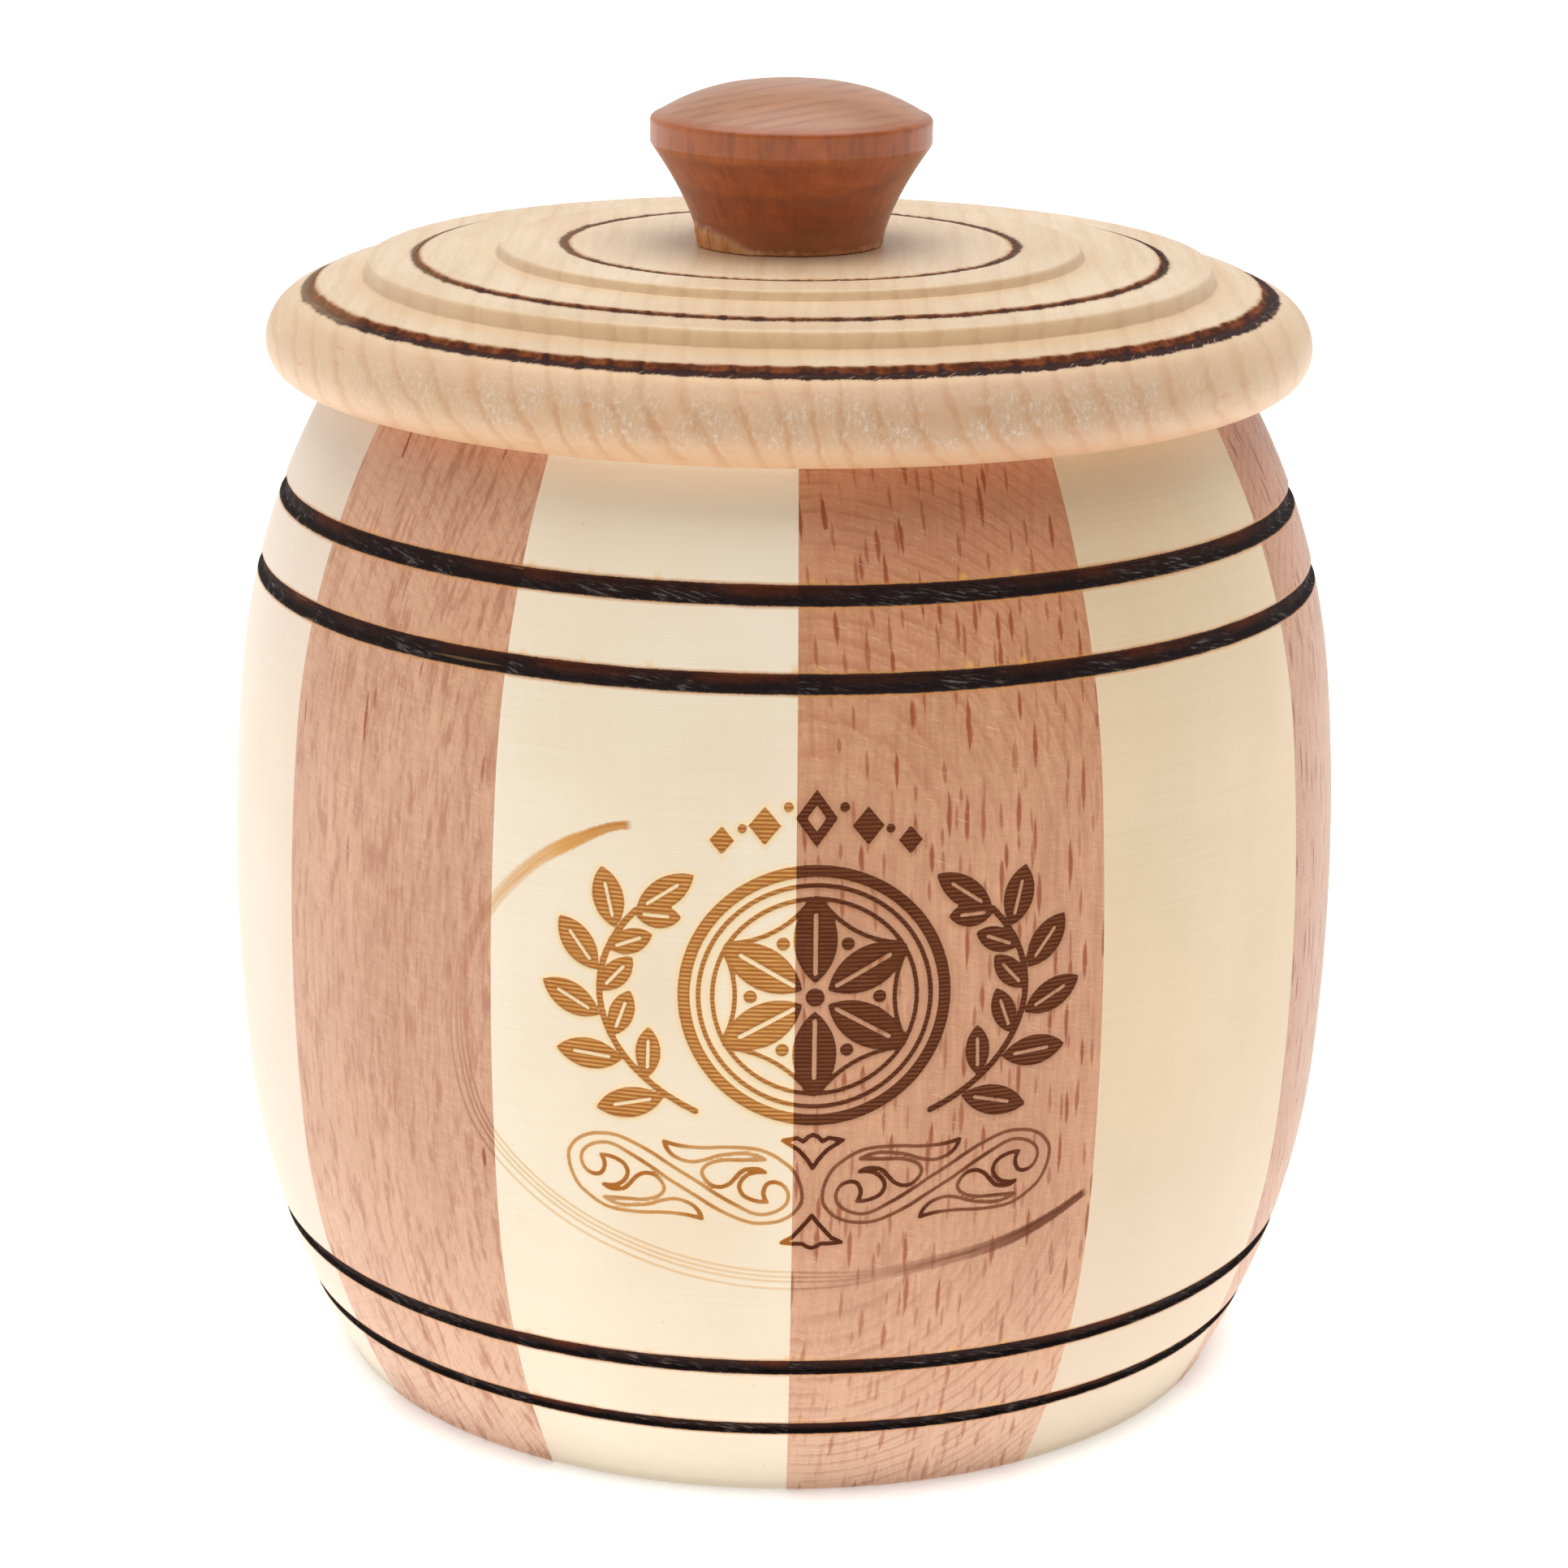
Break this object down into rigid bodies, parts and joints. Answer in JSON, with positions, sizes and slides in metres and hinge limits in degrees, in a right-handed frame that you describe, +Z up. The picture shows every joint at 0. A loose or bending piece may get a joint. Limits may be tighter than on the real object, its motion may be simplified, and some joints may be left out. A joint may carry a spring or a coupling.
{
  "type": "wooden barrel sugar jar",
  "caption": "Barrel-shaped wooden sugar jar of glued light and dark staves with scorched grooves, a let-in round bottom and a lift-off turned lid with a flared knob.",
  "frame": {"origin": "centre of the base, on the surface the jar stands on", "axes": "+Z up along the turning axis; the decorated front looks along -Y; +X to the right seen from the front"},
  "size_m": [0.11, 0.11, 0.127],
  "materials": {
    "light_wood": "pale maple, sanded smooth, satin, scorched grooves",
    "dark_wood": "steamed beech with dark ray flecks, sanded smooth, satin, scorched grooves",
    "bottom_wood": "plain pale wood, sanded",
    "lid_wood": "pale beech, turned, slightly fibrous, scorched rings",
    "knob_wood": "brown wood, turned, satin"
  },
  "bodies": {
    "jar": {"light_stave_1": "light_wood", "light_stave_2": "light_wood", "light_stave_3": "light_wood", "light_stave_4": "light_wood", "light_stave_5": "light_wood", "light_stave_6": "light_wood", "dark_stave_1": "dark_wood", "dark_stave_2": "dark_wood", "dark_stave_3": "dark_wood", "dark_stave_4": "dark_wood", "dark_stave_5": "dark_wood", "dark_stave_6": "dark_wood", "bottom": "bottom_wood"},
    "lid": {"lid": "lid_wood", "knob": "knob_wood"}
  },
  "joints": [
    {"name": "lid_lift", "type": "slide", "parent": "jar", "child": "lid", "axis": [0, 0, 1], "range_m": [0, 0.07]}
  ]
}
